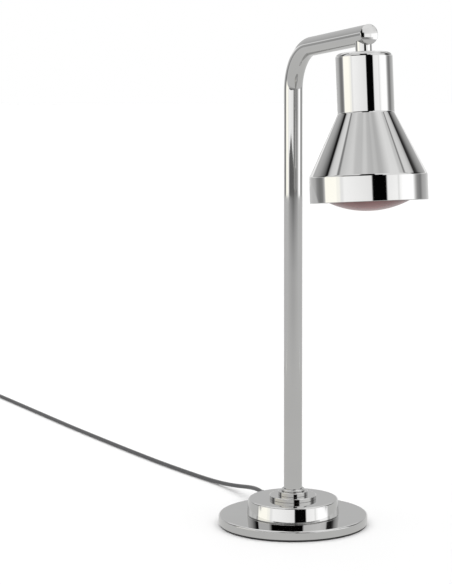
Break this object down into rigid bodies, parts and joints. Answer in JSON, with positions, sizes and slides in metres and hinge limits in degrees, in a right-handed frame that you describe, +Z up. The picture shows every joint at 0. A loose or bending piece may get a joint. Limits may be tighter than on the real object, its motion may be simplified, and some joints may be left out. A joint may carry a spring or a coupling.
{
  "type": "heat lamp warmer",
  "caption": "Free-standing chrome heat lamp with a weighted round base, a bent upright tube and a bell shade over a red reflector bulb.",
  "frame": {"origin": "on the upright's axis, at the underside of the base pad, which rests on the table", "axes": "+Z up along the upright, -Y towards the lamp head at the end of the arm, +Y towards the cord at the rear"},
  "size_m": [0.2905, 1.5699, 0.6862],
  "materials": {
    "chrome": "mirror-bright chrome plate",
    "polished_aluminium": "rolled, semi-bright",
    "zinc": "zinc-plated, satin",
    "brass": "plain, lightly dulled",
    "rubber": "matt black",
    "black_plastic": "fine moulded texture",
    "cord_plastic": "soft satin jacket",
    "porcelain": "glazed white",
    "red_glass": "frosted inside, dusky red, opaque with the lamp off",
    "clear_glass": "clear",
    "tungsten": "drawn wire",
    "nylon": "natural",
    "fibre_sleeve": "woven heat-resistant sleeve",
    "wire_black": "satin insulation",
    "wire_white": "satin insulation",
    "wire_green": "satin insulation"
  },
  "bodies": {
    "base": {"base_pad": "rubber", "base_plate": "chrome", "base_housing": "chrome", "flange_collar": "chrome", "hub_collar": "chrome", "hub_set_screw": "zinc", "lock_ring": "chrome", "tube_foot": "zinc", "base_nipple": "zinc", "base_washer": "zinc", "base_lock_nut": "zinc", "arm_tube": "chrome", "arm_end_cap": "chrome", "stem_sleeve": "chrome", "swivel_washer": "nylon", "saddle_washer": "zinc", "cord_gland": "rubber", "cord_jacket_end": "cord_plastic", "switch_body": "black_plastic", "switch_tab_1": "brass", "switch_tab_2": "brass", "live_lead_in": "wire_black", "live_lead_out": "wire_black", "neutral_lead": "wire_white", "ground_lead": "wire_green", "ground_terminal": "brass", "ground_screw": "zinc", "lamp_lead": "fibre_sleeve", "cord": "cord_plastic", "cord_coil": "cord_plastic", "cord_tie": "rubber", "plug_body": "black_plastic", "plug_blade_1": "brass", "plug_blade_2": "brass", "plug_ground_pin": "brass"},
    "lamp_head": {"swivel_nipple": "zinc", "swivel_lock_nut": "zinc", "shade_washer": "zinc", "shade_lock_nut": "zinc", "shade": "chrome", "socket_cap": "zinc", "lamp_socket": "porcelain", "socket_shell": "brass", "socket_contact": "brass", "bulb_contact": "zinc", "bulb_cap": "polished_aluminium", "bulb_glass": "red_glass", "bulb_mount": "clear_glass", "bulb_filament": "tungsten", "socket_lead_1": "wire_black", "socket_lead_2": "wire_white"},
    "rocker": {"power_rocker": "black_plastic"}
  },
  "joints": [
    {"name": "head_swivel", "type": "hinge", "parent": "base", "child": "lamp_head", "pos_m": [0, -0.1919, 0.67219], "axis": [0, 0.0872, 0.9962], "range_deg": [-165, 165]},
    {"name": "power_switch", "type": "hinge", "parent": "base", "child": "rocker", "pos_m": [0.03686, 0.05264, 0.02558], "axis": [0.05, 0.0714, -0.9962], "range_deg": [0, 20]}
  ]
}
